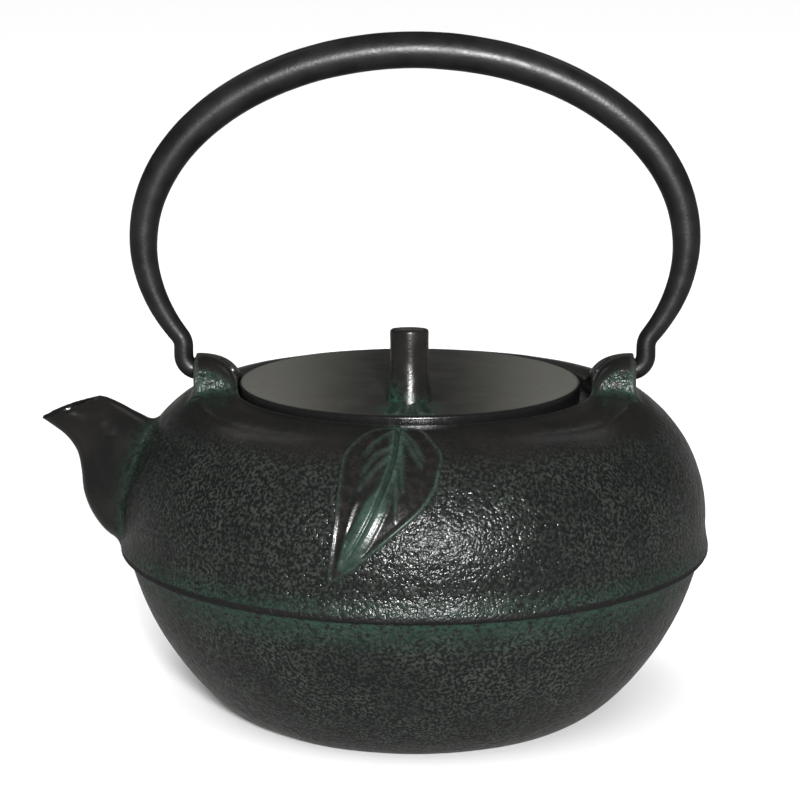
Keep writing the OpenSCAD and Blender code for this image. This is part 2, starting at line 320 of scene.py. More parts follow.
def tree_of(rings):
    """Search tree of a skin over rings, with its faces outwards."""
    points, faces = loft(rings)
    skin = bmesh.new()
    corners = [skin.verts.new(p) for p in points.tolist()]
    for face in faces:
        skin.faces.new([corners[k] for k in face])
    if skin.calc_volume(signed=True) < 0:
        bmesh.ops.reverse_faces(skin, faces=skin.faces)
    skin.normal_update()
    tree = BVHTree.FromBMesh(skin)
    skin.free()
    return tree


def bore_rings():
    """The spout's bore, carried on past the lip so that it cuts the mouth open."""
    rings = spout_rings(SPOUT_WALL)
    low, high = np.array(SPOUT_STATIONS[-1][0:2]), np.array(SPOUT_STATIONS[-1][2:4])
    run = (high - low) / np.linalg.norm(high - low)
    outward = np.array([-run[1], 0, run[0]])
    past_lip = 5.0
    return rings + [rings[-1] + outward * past_lip]


spout_tree = tree_of(spout_rings(0))
bore_tree = tree_of(bore_rings())
SIDEWAYS = Vector((0, 1, 0))


def tree_field(tree, x, y, z):
    """Signed distance to a closed skin that is the same on both sides of Y = 0."""
    out = np.empty(len(x))
    for k, p in enumerate(zip(x.tolist(), np.abs(y).tolist(), z.tolist())):
        gap = tree.find_nearest(p)[3]
        spot, normal, _, _ = tree.ray_cast(p, SIDEWAYS)
        out[k] = -gap if spot is not None and normal.y > 0 else gap
    return out


def lug_field(x, y, z):
    """The two lugs: an arch seen from the side, a dome seen from the front, cut flat outside."""
    side = np.abs(x)
    arch = np.hypot(y, np.maximum(z - LUG_ARCH_Z, 0)) - LUG_ARCH_R
    dome = np.hypot(side - LUG_DOME_C[0], z - LUG_DOME_C[1]) - LUG_DOME_R
    ear = both(both(arch, dome, 3.2), side - LUG_FACE, 1.1)
    return np.maximum(ear, 86 - z)


def lug_hole_field(x, y, z):
    """The holes for the bail's pins, wider at their mouths."""
    mouth = np.clip((np.abs(x) - (LUG_FACE - LUG_MOUTH_H)) / LUG_MOUTH_H, 0, 2)
    return np.maximum(np.hypot(y, z - HINGE_Z) - LUG_HOLE_R - LUG_MOUTH * mouth, 45 - np.abs(x))


def casting_field(x, y, z, parts=False):
    """Distance field of the whole pot casting; parts also gives its body, lug and spout fields."""
    far = 50.0
    r = np.hypot(x, y)
    body = outline(r, z)
    lugs = np.full(x.shape, far)
    near = (z > 84) & (np.abs(x) > 44) & (np.abs(x) < 72) & (np.abs(y) < 19)
    lugs[near] = lug_field(x[near], y[near], z[near])
    spout, bore = np.full(x.shape, far), np.full(x.shape, far)
    near = (x < -66) & (np.abs(y) < 24) & (z > 34) & (z < 100) & (body > -6) & (body < 34)
    spout[near] = tree_field(spout_tree, x[near], y[near], z[near])
    bore[near] = tree_field(bore_tree, x[near], y[near], z[near])
    solid = either(body, spout, 2.6)
    solid = either(solid, lugs, 2.4)
    solid = both(solid, -lug_hole_field(x, y, z), 0.5)
    seat = np.maximum(r - SEAT_R, SEAT_Z - z)
    throat = np.maximum(r - THROAT_R, RING_LOW - 8 - z)
    cavity = np.maximum(body + WALL, np.minimum(RING_R - r, z - RING_LOW))
    port = np.maximum(np.maximum(np.hypot(y, z - PORT_Z) - PORT_R, x + 66), body - 0.4)
    solid = both(solid, -seat, 0.7)
    solid = both(solid, -throat, 0.5)
    solid = np.maximum(solid, -cavity)
    solid = both(solid, -np.maximum(bore, -body - 0.2), 0.8)
    solid = both(solid, -port, 0.8)
    return (solid, body, lugs, spout, bore) if parts else solid


def surface_of(field, low, high, size, fine):
    """Points and quads of a field's zero surface, by one point in each cell that it crosses.

    Cells are size wide, and less than half as tall between the two fine heights.
    """
    axes = [np.arange(a, b + size, size) for a, b in zip(low, high)]
    axes[2] = np.concatenate([np.arange(low[2], fine[0], size), np.arange(fine[0], fine[1], size * 0.45),
                              np.arange(fine[1], high[2] + size, size)])
    shape = [len(a) for a in axes]
    values = np.empty(shape)
    flat_x, flat_y = (g.ravel() for g in np.meshgrid(axes[0], axes[1], indexing="ij"))
    for k, z in enumerate(axes[2]):
        values[:, :, k] = field(flat_x, flat_y, np.full(flat_x.shape, z)).reshape(shape[:2])
    inside = values < 0
    count = np.zeros([n - 1 for n in shape], np.int8)
    for i in (0, 1):
        for j in (0, 1):
            for k in (0, 1):
                count += inside[i:shape[0] - 1 + i, j:shape[1] - 1 + j, k:shape[2] - 1 + k]
    cells = np.argwhere((count > 0) & (count < 8))
    number = np.full(count.shape, -1)
    number[tuple(cells.T)] = np.arange(len(cells))
    total, hits = np.zeros((len(cells), 3)), np.zeros(len(cells))
    for axis in range(3):
        for i in (0, 1):
            for j in (0, 1):
                a = np.insert(np.array([i, j]), axis, 0)
                run = np.eye(3, dtype=int)[axis]
                va, vb = values[tuple((cells + a).T)], values[tuple((cells + a + run).T)]
                cut = (va < 0) != (vb < 0)
                t = va[cut] / (va[cut] - vb[cut])
                total[cut] += cells[cut] + a + t[:, None] * run
                hits[cut] += 1
    spot = total / hits[:, None]
    points = np.column_stack([np.interp(spot[:, k], np.arange(shape[k]), axes[k]) for k in range(3)])
    quads = []
    for axis in range(3):
        run, u, w = (np.eye(3, dtype=int)[(axis + k) % 3] for k in range(3))
        ahead = tuple(slice(1, None) if k == axis else slice(None) for k in range(3))
        behind = tuple(slice(None, -1) if k == axis else slice(None) for k in range(3))
        edges = np.argwhere(inside[behind] != inside[ahead])
        ring = [number[tuple((edges - shift).T)] for shift in (u + w, w, 0 * u, u)]
        quad = np.stack(ring, -1)
        outward = inside[tuple(edges.T)]
        quads.append(np.where(outward[:, None], quad, quad[:, ::-1]))
    return points, np.concatenate(quads)


def settle(points, field, rounds=2):
    """Moves points onto a field's zero surface, and gives the surface's direction at each."""
    reach = 0.06
    for _ in range(rounds):
        p = points.T
        slope = np.stack([field(*(p + reach * e[:, None])) - field(*(p - reach * e[:, None]))
                          for e in np.eye(3)], -1) / (2 * reach)
        size = np.maximum(np.linalg.norm(slope, axis=1), 0.3)
        move = np.clip(field(*p) / size, -0.6, 0.6)
        points = points - slope / size[:, None] * move[:, None]
    return points, slope / size[:, None]


def curvature(points, field, reach):
    """How sharply a surface turns at each point, per mm: above zero on an edge, below in a crease."""
    p = points.T
    around = sum(field(*(p + side * reach * e[:, None])) for e in np.eye(3) for side in (-1, 1))
    return (around - 6 * field(*p)) / reach ** 2


def ripple(points, size, seed):
    """Smooth noise from -1 to 1 at points in millimetres, with waves of about that size."""
    shift = Vector((seed * 17.3, seed * 5.1, seed * 9.7))
    return np.array([noise.noise(Vector(p) + shift) for p in (points / size).tolist()])


# ---------------------------------------------------------------- materials

class Look:
    """A node material under construction, in millimetres of the row frame."""

    def __init__(self, name):
        self.material = bpy.data.materials.new(name)
        self.material.use_nodes = True
        self.tree = self.material.node_tree
        self.shader = self.tree.nodes["Principled BSDF"]
        where = self.tree.nodes.new("ShaderNodeTexCoord")
        self.place = self.node("ShaderNodeVectorMath", operation="SCALE")
        self.link(where.outputs["Object"], self.place.inputs[0])
        self.place.inputs["Scale"].default_value = 1 / MM
        self.where = self.place.outputs[0]

    def node(self, kind, **settings):
        made = self.tree.nodes.new(kind)
        for key, value in settings.items():
            setattr(made, key, value)
        return made

    def link(self, source, target):
        self.tree.links.new(source, target)

    def put(self, socket, value):
        """Links a socket to another node's output, or sets it to a plain value."""
        if isinstance(value, bpy.types.NodeSocket):
            self.link(value, socket)
        elif isinstance(value, (tuple, list)):
            socket.default_value = (*value, 1) if len(value) == 3 and socket.type == "RGBA" else value
        else:
            socket.default_value = value

    def noise(self, size, detail=2.0, rough=0.5, squash=None):
        """Soft noise with features of that many millimetres, 0 to 1 about 0.5."""
        made = self.node("ShaderNodeTexNoise")
        where = self.where
        if squash:
            stretch = self.node("ShaderNodeVectorMath", operation="MULTIPLY")
            self.link(where, stretch.inputs[0])
            stretch.inputs[1].default_value = squash
            where = stretch.outputs[0]
        self.link(where, made.inputs["Vector"])
        made.inputs["Scale"].default_value = 1 / size
        made.inputs["Detail"].default_value = detail
        made.inputs["Roughness"].default_value = rough
        return made.outputs["Fac"]

    def math(self, operation, a, b=0.0, clamp=False):
        made = self.node("ShaderNodeMath", operation=operation, use_clamp=clamp)
        self.put(made.inputs[0], a)
        self.put(made.inputs[1], b)
        return made.outputs[0]

    def ramp(self, value, low, high, out_low=0.0, out_high=1.0):
        """Carries a value from one range to another, smoothly, held at both ends."""
        made = self.node("ShaderNodeMapRange", interpolation_type="SMOOTHSTEP")
        for name, given in (("Value", value), ("From Min", low), ("From Max", high),
                            ("To Min", out_low), ("To Max", out_high)):
            self.put(made.inputs[name], given)
        return made.outputs["Result"]

    def mix(self, share, a, b):
        made = self.node("ShaderNodeMix", data_type="RGBA")
        for socket, value in zip((made.inputs[0], made.inputs[6], made.inputs[7]), (share, a, b)):
            self.put(socket, value)
        return made.outputs[2]

    def value(self, name):
        """The numbers that add_values put on the mesh."""
        made = self.node("ShaderNodeAttribute", attribute_name=name)
        return made.outputs["Fac"]

    def height(self):
        made = self.node("ShaderNodeSeparateXYZ")
        self.link(self.where, made.inputs[0])
        return made.outputs["Z"]

    def bump(self, relief, strength, depth_mm, under=None):
        made = self.node("ShaderNodeBump")
        self.put(made.inputs["Strength"], strength)
        made.inputs["Distance"].default_value = depth_mm * MM
        self.put(made.inputs["Height"], relief)
        if under is not None:
            self.link(under, made.inputs["Normal"])
        return made.outputs["Normal"]

    def finish(self, colour, roughness, normal=None, metallic=0.0, **constants):
        self.put(self.shader.inputs["Base Color"], colour)
        self.put(self.shader.inputs["Roughness"], roughness)
        self.put(self.shader.inputs["Metallic"], metallic)
        if normal is not None:
            self.link(normal, self.shader.inputs["Normal"])
        for name, value in constants.items():
            self.shader.inputs[name.replace("_", " ")].default_value = value
        return self.material


BLACK = (0.0048, 0.0050, 0.0048)
BROWN_BLACK = (0.0085, 0.0075, 0.0068)
GREY_GREEN = (0.024, 0.0295, 0.0255)
PATINA = (0.012, 0.030, 0.021)
EDGE_GREY = (0.04, 0.045, 0.04)
LEAF_WEAR_AND_SHEEN = (0.022, 0.034, 0.028)
# The third lid colour is a painted reflection: pale grey for the lid's sides.
LID_DARK, LID_PALE, LID_SHEEN = (0.013, 0.0127, 0.0112), (0.018, 0.0176, 0.0156), (0.075, 0.074, 0.066)
COATED_BLACK, COATED_GREY = (0.0035, 0.0035, 0.0038), (0.0065, 0.0062, 0.0066)


def casting_look():
    """Pebbled black iron with green-grey flecks, smooth where the casting is smooth."""
    look = Look("cast_iron_pebbled")
    grain, black, patina = look.value("grain"), look.value("black"), look.value("patina")
    edge = look.value("edge")
    peel = look.noise(0.9, 1.3, 0.55)
    swell = look.noise(2.6, 2.0)
    patches = look.noise(14.0, 2.0)
    low_bowl = look.ramp(look.height(), 56.0, 34.0, 0.8, 1.0)
    # flecks of lighter, greener iron among black grains
    flecks = look.ramp(peel, 0.40, 0.68)
    share = look.math("MULTIPLY", flecks, look.math("MULTIPLY", grain, low_bowl))
    share = look.math("MULTIPLY", share, look.ramp(patches, 0.3, 0.62, 0.5, 1.0))
    smooth_colour = look.mix(look.ramp(patches, 0.35, 0.7), BROWN_BLACK, BLACK)
    colour = look.mix(grain, smooth_colour, BLACK)
    colour = look.mix(look.math("MULTIPLY", share, 0.85), colour, GREY_GREEN)
    green = look.math("MULTIPLY", patina, look.ramp(look.noise(1.6, 3.0, 0.6), 0.32, 0.6))
    colour = look.mix(green, colour, PATINA)
    colour = look.mix(look.math("MULTIPLY", edge, 0.35), colour, EDGE_GREY)
    # Painted shade: the "black" value turns the band under the waist lip black, where its underside is in
    # shadow.
    colour = look.mix(black, colour, BLACK)
    rough = look.ramp(swell, 0.35, 0.7, 0.17, 0.26)
    rough = look.math("ADD", rough, look.math("MULTIPLY", patina, 0.15))
    rough = look.math("ADD", rough, look.math("MULTIPLY", black, 0.3))
    relief = look.math("ADD", peel, look.math("MULTIPLY", swell, 1.1))
    normal = look.bump(relief, look.ramp(grain, 0.0, 1.0, 0.05, 1.0), 0.38)
    return look.finish(colour, rough, normal, Specular_IOR_Level=0.2)


def smooth_iron_look(name, colour_a, colour_b, rough_low, rough_high, bump=0.12, patina_at=None):
    """Fine-grained iron: knob and bail."""
    look = Look(name)
    soft, fine = look.noise(9.0, 3.0), look.noise(0.8, 2.0, 0.6)
    colour = look.mix(look.ramp(soft, 0.35, 0.68), colour_a, colour_b)
    if patina_at:
        colour = look.mix(look.math("MULTIPLY", look.value(patina_at),
                                    look.ramp(look.noise(2.4, 3.0, 0.6), 0.35, 0.6)), colour, PATINA)
    rough = look.ramp(look.noise(3.2, 3.0), 0.3, 0.7, rough_low, rough_high)
    normal = look.bump(fine, bump, 0.5)
    return look.finish(colour, rough, normal, Specular_IOR_Level=0.35)


def lid_look():
    """Smooth warm grey iron with a black, polished rim; paler to both sides by a painted reflection of
    bright surroundings.
    """
    look = Look("lid_iron")
    soft, fine = look.noise(9.0, 3.0), look.noise(0.8, 2.0, 0.6)
    dark = look.mix(look.ramp(soft, 0.35, 0.68), LID_DARK, LID_PALE)
    # Painted reflection: the lid's top is paler to left and right, where bright surroundings reflect, and
    # darker in the middle.
    colour = look.mix(look.value("wear_and_sheen"), dark, LID_SHEEN)
    green = look.math("MULTIPLY", look.value("patina"), look.ramp(look.noise(2.4, 3.0, 0.6), 0.35, 0.6))
    colour = look.mix(green, colour, PATINA)
    colour = look.mix(look.value("rim"), colour, BLACK)
    rough = look.ramp(look.noise(3.2, 3.0), 0.3, 0.7, 0.36, 0.46)
    rough = look.math("SUBTRACT", rough, look.math("MULTIPLY", look.value("rim"), 0.18))
    return look.finish(colour, rough, look.bump(fine, 0.12, 0.5), Specular_IOR_Level=0.35)


def leaf_look():
    """Dark iron fields, green round the midrib, paler on the raised lines: wear, and on the lower right of
    the leaf's outline also a painted highlight.
    """
    look = Look("leaf_iron")
    raised, green = look.value("raised"), look.value("patina")
    soft, fine = look.noise(2.2, 3.0, 0.6), look.noise(0.8, 2.0)
    colour = look.mix(look.ramp(soft, 0.4, 0.7), BLACK, BROWN_BLACK)
    colour = look.mix(look.math("MULTIPLY", green, look.ramp(soft, 0.25, 0.6, 0.35, 0.8)), colour, PATINA)
    # Wear on the raised lines; on the outline's lower right it is also a painted highlight.
    wear_and_sheen = look.math("MULTIPLY", raised, look.ramp(fine, 0.35, 0.6, 0.35, 1.0))
    colour = look.mix(wear_and_sheen, colour, LEAF_WEAR_AND_SHEEN)
    normal = look.bump(fine, 0.15, 0.4)
    return look.finish(colour, look.ramp(soft, 0.3, 0.7, 0.2, 0.3), normal, Specular_IOR_Level=0.25)


def enamel_look():
    """Gloss black enamel with a few pale specks."""
    look = Look("black_enamel")
    spots = look.ramp(look.noise(0.9, 1.0), 0.66, 0.72)
    colour = look.mix(spots, (0.012, 0.013, 0.015), (0.05, 0.052, 0.055))
    normal = look.bump(look.noise(5.0, 1.0), 0.25, 0.4)
    return look.finish(colour, look.ramp(look.noise(7.0), 0.3, 0.7, 0.12, 0.22), normal)


def steel_look(name, stretch):
    """Brushed steel, with its lines squashed in one direction."""
    look = Look(name)
    lines = look.noise(1.0, 2.0, 0.7, stretch)
    colour = look.mix(lines, (0.52, 0.53, 0.54), (0.68, 0.68, 0.67))
    normal = look.bump(lines, 0.12, 0.1)
    return look.finish(colour, look.ramp(lines, 0.2, 0.8, 0.22, 0.38), normal, metallic=1.0)


# ---------------------------------------------------------------- pieces

def make_casting(material):
    """The pot casting: body, spout and lugs in one skin, outside and in."""
    margin = 3.0
    low = (cad_low[0] / MM - margin, body_low[1] - margin, -margin)
    high = (body_high[0] + margin, body_high[1] + margin, 108.0)
    points, quads = surface_of(casting_field, low, high, VOXEL, WAIST_CELLS)
    points, outward = settle(points, casting_field)
    _, body, lugs, spout, bore = casting_field(*points.T, parts=True)
    x, y, z = points.T
    r = np.hypot(x, y)
    outside = (body > -1.2) & (bore > 0.5) & ~((r < SEAT_R + 0.4) & (z > RING_LOW))
    on_spout = outside * step_between(0.3, 1.6, np.minimum(body - spout, 6.0)) * (x < -60)
    on_lug = outside * step_between(0.3, 1.5, body - lugs) * (z > 93)
    collar = step_between(84.5, 91.5, z)
    base = step_between(0.4, 3.0, z)
    from_rim = LUG_DOME_R - np.hypot(np.abs(x) - LUG_DOME_C[0], z - LUG_DOME_C[1])
    lug_face = on_lug * step_between(2.0, 3.4, from_rim) * step_between(7.5, 9.5, np.abs(y))
    lug_rim = on_lug * (1 - lug_face)
    plain = np.clip(0.85 * collar + lug_rim, 0, 1) * (1 - lug_face)
    grain = outside * (1 - on_spout) * (1 - plain) * base
    # slow waves all over, and small ones where the iron is pebbled
    uneven = 0.10 * ripple(points, 13.0, 1) + 0.05 * grain * ripple(points, 2.6, 2)
    inwards, face_depth = 0.12, 0.5
    above_lip = step_between(49.4, 50.0, z) * step_between(56, 51, z)
    # below_lip is stronger from 45.2 to 47.5 mm. There it paints a highlight line, light caught on the
    # bowl's top edge, in patina green. Lower down to 36 mm it is patina.
    below_lip = step_between(47.5, 47.1, z) * (0.75 * step_between(45.2, 46.4, z) + step_between(36, 46, z))
    # Painted shade: the band under the waist lip is coloured black for its underside in shadow; it goes to
    # the material as "black".
    under_lip_shade = step_between(47.3, 47.7, z) * step_between(49.9, 49.4, z) * outside
    points = points + outward * (outside * (uneven - inwards) - face_depth * lug_face)[:, None]
    crease = np.exp(-(np.abs(body) + np.abs(np.minimum(spout, lugs))) / 2.2)
    patina = 0.6 * crease + 0.55 * lug_face + 0.35 * above_lip + 0.55 * below_lip
    patina = outside * np.clip(patina, 0, 1) * (1 - under_lip_shade)
    bend = curvature(points, casting_field, 1.1)
    edge = outside * step_between(0.22, 0.6, bend) * step_between(0, 2, z) * (1 - on_spout)
    points[:, 2] = np.maximum(points[:, 2], 0.0)
    piece = make_piece("pot_casting", points, quads, material, "pot",
                       ("body_upper", "body_lower", "spout", "lug_left", "lug_right"))
    add_values(piece, "grain", grain)
    # "black" carries the painted shade under the waist lip.
    add_values(piece, "black", under_lip_shade)
    add_values(piece, "edge", edge)
    add_values(piece, "patina", patina)
    return piece


def meridian(s):
    """Radius and height on the pot's outer surface, s mm down from the shoulder's inner edge, and
    the direction out of the surface there."""
    top = SHOULDER_R * math.radians(90 - SHOULDER_A)
    a = np.where(s < top, math.radians(90) - s / SHOULDER_R,
                 math.radians(SHOULDER_A) - (s - top) / UPPER_R)
    a = np.where(s < 0, math.radians(90), a)
    on_top = s < top
    radius = np.where(on_top, SHOULDER_R, UPPER_R)
    c_r = np.where(on_top, SHOULDER_C[0], UPPER_C[0]) + np.minimum(s, 0)
    c_z = np.where(on_top, SHOULDER_C[1], UPPER_C[1])
    return c_r + radius * np.cos(a), c_z + radius * np.sin(a), np.cos(a), np.sin(a)


# Leaf on the shoulder, as (x, distance down the surface) in millimetres. The places were picked on
# the photo and turned into millimetres by a separate program, then partly adjusted.
LEAF_LEFT = [(-3.5, 1.5), (-7, 0.6), (-11.7, 3), (-18, 12), (-19.5, 16), (-20.3, 24), (-21.1, 31.4),
             (-22, 38.6), (-22.9, 46), (-23, 50)]
LEAF_RIGHT = [(-3.5, 1.5), (-1, 0.8), (2.4, 2.9), (5, 8.5), (7.4, 13.7), (6.4, 19.7), (5.2, 24.4),
              (1.6, 30), (-3, 34.3), (-8.6, 39.2), (-14.5, 44.4), (-20, 48.6), (-23, 50)]
LEAF_MIDRIB = [(-4.2, 1.5), (-4.6, 5), (-5.2, 12.8), (-6.6, 19.3), (-8.7, 25.3), (-10.8, 30.2),
               (-12.9, 34.6), (-15.4, 39.3), (-18.2, 44)]
LEAF_VEINS = [[(-6.2, 3.5), (-10.2, 8.5), (-13.2, 13.8)],
              [(-6.1, 10.8), (-9.5, 12.9), (-12.3, 16.6), (-14, 20)],
              [(-6.9, 14.6), (-10.9, 18.6), (-14.8, 24.2)],
              [(-9.2, 24.6), (-12.2, 27.8), (-14.6, 33)],
              [(-2.8, 4), (-0.6, 8.6), (2.2, 14.8)],
              [(-3.2, 6.5), (-0.1, 13.6), (1.8, 17.2)],
              [(-3.6, 11), (-3.5, 18), (-3.2, 24.5)],
              [(-5.2, 19), (-4.9, 25.2), (-5.3, 32.8)]]
LEAF_FOLD = [(-15.4, 27.5), (-17, 31.5), (-18.4, 37), (-19.8, 43), (-20.6, 47)]


def ridge(gap, width):
    """A rounded ridge of height 1 along a line, by the distance from it."""
    return np.exp(-(gap / width) ** 2)


def slab(top, bottom, kept):
    """Points and faces of a closed slab between two grids of points, over the cells that are kept.

    It also gives the number in the grids, top first, of each point that the slab uses.
    """
    corner = np.arange(top.shape[0] * top.shape[1]).reshape(top.shape[:2])
    cells = np.stack([corner[:-1, :-1], corner[1:, :-1], corner[1:, 1:], corner[:-1, 1:]], -1)[kept]
    sides = cells[:, [0, 1, 1, 2, 2, 3, 3, 0]].reshape(-1, 2).tolist()
    seen = set(map(tuple, sides))
    under = corner.size
    walls = [(b, a, a + under, b + under) for a, b in sides if (b, a) not in seen]
    faces = np.vstack([cells, cells[:, ::-1] + under, np.array(walls)])
    used = np.unique(faces)
    number = np.full(2 * under, -1)
    number[used] = np.arange(len(used))
    points = np.concatenate([top.reshape(-1, 3), bottom.reshape(-1, 3)])
    return points[used], number[faces], used


def make_leaf(material):
    """The leaf cast on the shoulder: outline, grooved midrib, veins and a raised lower fold."""
    step = 0.3
    xs, ss = np.arange(-27, 11.5, step), np.arange(-3.4, 54, step)
    x, s = np.meshgrid(xs, ss, indexing="ij")
    left, right = curve_through(LEAF_LEFT, 6), curve_through(LEAF_RIGHT, 6)
    midrib, fold = curve_through(LEAF_MIDRIB, 6), curve_through(LEAF_FOLD, 6)
    edge = polygon_field(np.vstack([left, right[::-1]]), x, s)
    rib, along = line_distance(midrib, x, s)
    stalk, _ = line_distance(np.array([(-4.2, -6.0), (-4.2, 2.5)]), x, s)
    inside = step_between(0.5, -0.4, edge)
    # The outline's lower right is made higher, which is real relief, and through raised also paler, which
    # is a painted highlight.
    right_low = ridge(line_distance(right[30:60], x, s)[0], 0.8)
    rim = ridge(edge, 0.8) * (1 + 0.9 * right_low)
    veins = np.zeros_like(x)
    for vein in LEAF_VEINS:
        gap, share = line_distance(curve_through(vein, 5), x, s)
        veins = np.maximum(veins, ridge(gap, 0.7) * (1 - 0.45 * share))
    fold_gap, _ = line_distance(fold, x, s)
    fold_x = np.interp(s, fold[:, 1], fold[:, 0])
    plateau = step_between(-0.5, 0.5, x - fold_x) * step_between(25, 31, s) * step_between(3.6, 2.4, rib)
    rib_fade = step_between(1.0, 0.9, along)
    twin = ridge(rib - 1.05, 0.55) * rib_fade
    groove = ridge(rib, 0.42) * rib_fade
    flank = ridge(stalk, 2.2) * step_between(3.0, 0.0, s)
    sunk = 0.9
    lift = (-sunk + 1.15 * inside + 0.55 * rim + 0.42 * veins * inside + 0.55 * twin * inside
            - 0.35 * groove * inside + 0.40 * plateau * inside + 0.35 * ridge(fold_gap, 0.7) * inside)
    lift = np.maximum(lift, -sunk + 1.25 * flank)
    shallow = step_between(54, 50.5, s)
    lift = np.where(edge < 2.2, lift, -sunk + 1.25 * flank)
    lift = np.minimum(lift, 0.85) * shallow - sunk * (1 - shallow)
    r, z, out_r, out_z = meridian(s)
    flat_y = -np.sqrt(np.maximum(r * r - x * x, 0))
    nx, ny = x / r * out_r, flat_y / r * out_r
    root = -1.6
    top, bottom = (np.stack([x + off * nx, flat_y + off * ny, z + off * out_z], -1) for off in (lift, root))
    kept = ((edge < 1.6) | ((stalk < 3.2) & (s < 3)))[:-1, :-1]
    points, faces, used = slab(top, bottom, kept)
    piece = make_piece("leaf", points, faces, material, "pot", ("leaf_relief",))
    # raised: wear on the ridges, plus a painted highlight on the outline's lower right.
    raised = np.clip(0.6 * rim + 0.5 * veins + 0.6 * twin + 0.3 * plateau, 0, 1).ravel()
    patina = 0.6 * plateau + 0.5 * ridge(rib, 2.0) * rib_fade + 0.7 * flank + 0.3 * veins
    patina = np.clip(patina, 0, 1).ravel()
    add_values(piece, "raised", np.tile(raised, 2)[used])
    add_values(piece, "patina", np.tile(patina, 2)[used])
    return piece


def rounded(points, radius, steps=4):
    """A closed profile with each corner rounded off."""
    p = np.asarray(points, float)
    out = []
    for k in range(len(p)):
        before, here, after = p[k - 1], p[k], p[(k + 1) % len(p)]
        a, b = before - here, after - here
        la, lb = np.linalg.norm(a), np.linalg.norm(b)
        cut = min(radius, la * 0.45, lb * 0.45)
        start, stop = here + a / la * cut, here + b / lb * cut
        for t in np.linspace(0, 1, steps + 1):
            out.append((1 - t) ** 2 * start + 2 * (1 - t) * t * here + t * t * stop)
    return np.array(out)


def make_lid(material):
    """The lid casting: a slightly crowned disc with a soft edge and a skirt inside."""
    band, skirt_r, skirt_t, soft = 3.5, 36.8, 2.8, 0.8
    under_z, skirt_z = LID_TOP - 3.8, lid_low[2]
    seat_z = SEAT_Z + 0.75
    shape = [(LID_R, LID_TOP - CROWN), (LID_R, seat_z), (LID_R - band, seat_z), (LID_R - band, under_z),
             (skirt_r, under_z), (skirt_r, skirt_z), (skirt_r - skirt_t, skirt_z),
             (skirt_r - skirt_t, under_z), (AXIS_R, under_z), (AXIS_R, LID_TOP)]
    corner_steps = 4
    rim = rounded(shape, soft, corner_steps)[:-2 * (corner_steps + 1)]
    r = np.linspace(AXIS_R, LID_R - soft - 0.4, 26)
    top = np.column_stack([r, LID_TOP - CROWN * (r / LID_R) ** 2])
    points, faces = lathe(np.vstack([top, rim, [(AXIS_R, under_z)]]), 224, (LID_X, 0.0))
    piece = make_piece("lid_casting", points, faces, material, "lid", ("lid_disc",))
    x, y, z = points.T
    on_top = z > LID_TOP - 3
    # Painted reflection on the lid's top, growing towards both sides.
    add_values(piece, "wear_and_sheen", on_top * step_between(8, 46, np.abs(x - LID_X)))
    add_values(piece, "rim", step_between(LID_R - 0.9, LID_R - 0.5, np.hypot(x - LID_X, y)))
    add_values(piece, "patina", on_top * np.clip(1.3 - np.hypot((x - LID_X) / 9, (y + 41) / 8), 0, 1))
    return piece


def make_knob(material):
    """The stem knob: round, wider at its foot, leaning back a little."""
    radius, flare, foot, soft, root = 5.4, 1.0, 11.0, 0.9, 1.2
    tall = 20.6
    turn = np.linspace(0, 2 * math.pi, 64, endpoint=False)
    sizes = [(h, radius + flare * np.clip(1 - max(h, 0) / foot, 0, 1) ** 1.3)
             for h in np.linspace(-root, tall - soft, 48)]
    sizes += [(tall - soft + soft * math.sin(a), radius - soft + soft * math.cos(a))
              for a in np.radians(np.linspace(0, 90, 7)[1:])]
    sizes += [(tall - 0.2 * (1 - share), (radius - soft) * share) for share in (0.7, 0.4, 0.12)]
    rings = [np.column_stack([w * np.cos(turn), w * np.sin(turn), np.full(len(turn), h)])
             for h, w in sizes]
    points, faces = loft(rings)
    points[:, 0] += 0.10 * ripple(points, 4.0, 5) * (points[:, 2] < tall - soft)
    x, y, h = points.T
    lean = math.radians(KNOB_LEAN)
    placed = np.column_stack([LID_X + x, -KNOB_Y + y * math.cos(lean) + h * math.sin(lean),
                              LID_TOP - CROWN - y * math.sin(lean) + h * math.cos(lean)])
    piece = make_piece("stem_knob", placed, faces, material, "lid", ("lid_knob",))
    # Patina at the foot; the green that climbs higher and stronger on the left side is a painted greenish
    # reflection.
    left = step_between(1.0, -4.0, x)
    add_values(piece, "patina", step_between(3.0 + 6.0 * left, 0.5, h) * (0.5 + 0.5 * left))
    return piece


